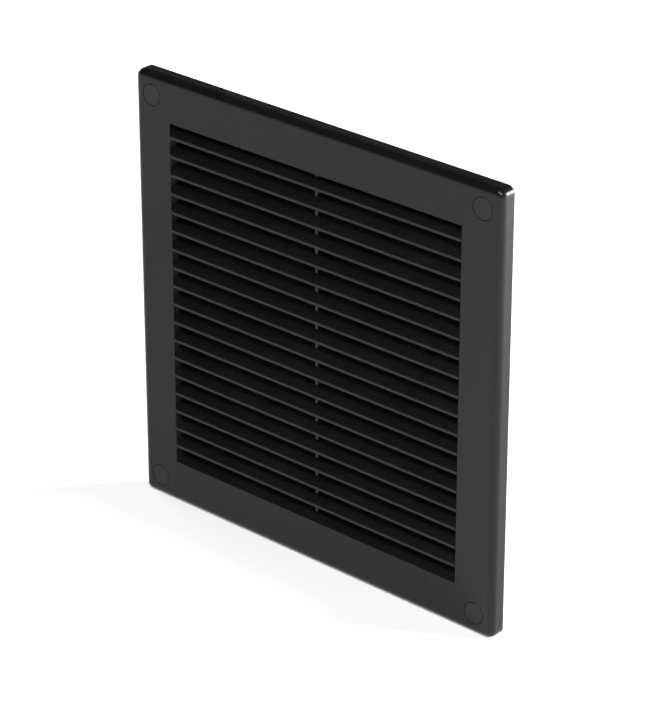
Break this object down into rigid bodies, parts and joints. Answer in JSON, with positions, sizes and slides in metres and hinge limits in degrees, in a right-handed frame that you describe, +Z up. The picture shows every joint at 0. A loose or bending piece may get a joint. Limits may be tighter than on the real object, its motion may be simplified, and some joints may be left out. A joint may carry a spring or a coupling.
{
  "type": "louvred air grille",
  "caption": "Square wall ventilation grille with fixed slanted louvres, a centre rib, an insect net behind and flush pull-out caps over its corner screws.",
  "frame": {"origin": "centre of the square of wall screws, on the wall plane at the back of the rim", "axes": "+Y into the wall, so the louvred face looks along -Y; +Z up; +X to the right seen from the front"},
  "size_m": [0.19, 0.0153, 0.19],
  "materials": {
    "frame_plastic": "satin",
    "blade_plastic": "satin",
    "cap_plastic": "satin",
    "net_plastic": "matte",
    "screw_steel": "zinc plated"
  },
  "bodies": {
    "grille": {"face_frame": "frame_plastic", "louvre_01": "blade_plastic", "louvre_02": "blade_plastic", "louvre_03": "blade_plastic", "louvre_04": "blade_plastic", "louvre_05": "blade_plastic", "louvre_06": "blade_plastic", "louvre_07": "blade_plastic", "louvre_08": "blade_plastic", "louvre_09": "blade_plastic", "louvre_10": "blade_plastic", "louvre_11": "blade_plastic", "louvre_12": "blade_plastic", "louvre_13": "blade_plastic", "louvre_14": "blade_plastic", "louvre_15": "blade_plastic", "louvre_16": "blade_plastic", "louvre_17": "blade_plastic", "louvre_18": "blade_plastic", "centre_rib": "blade_plastic", "insect_screen": "net_plastic", "wall_screw_top_left": "screw_steel", "wall_screw_top_right": "screw_steel", "wall_screw_bottom_left": "screw_steel", "wall_screw_bottom_right": "screw_steel"},
    "screw_cap_top_left": {"screw_cap_top_left": "cap_plastic"},
    "screw_cap_top_right": {"screw_cap_top_right": "cap_plastic"},
    "screw_cap_bottom_left": {"screw_cap_bottom_left": "cap_plastic"},
    "screw_cap_bottom_right": {"screw_cap_bottom_right": "cap_plastic"}
  },
  "joints": [
    {"name": "screw_cap_top_left_pull", "type": "slide", "parent": "grille", "child": "screw_cap_top_left", "axis": [0, -1, 0], "range_m": [0, 0.012]},
    {"name": "screw_cap_top_right_pull", "type": "slide", "parent": "grille", "child": "screw_cap_top_right", "axis": [0, -1, 0], "range_m": [0, 0.012]},
    {"name": "screw_cap_bottom_left_pull", "type": "slide", "parent": "grille", "child": "screw_cap_bottom_left", "axis": [0, -1, 0], "range_m": [0, 0.012]},
    {"name": "screw_cap_bottom_right_pull", "type": "slide", "parent": "grille", "child": "screw_cap_bottom_right", "axis": [0, -1, 0], "range_m": [0, 0.012]}
  ]
}
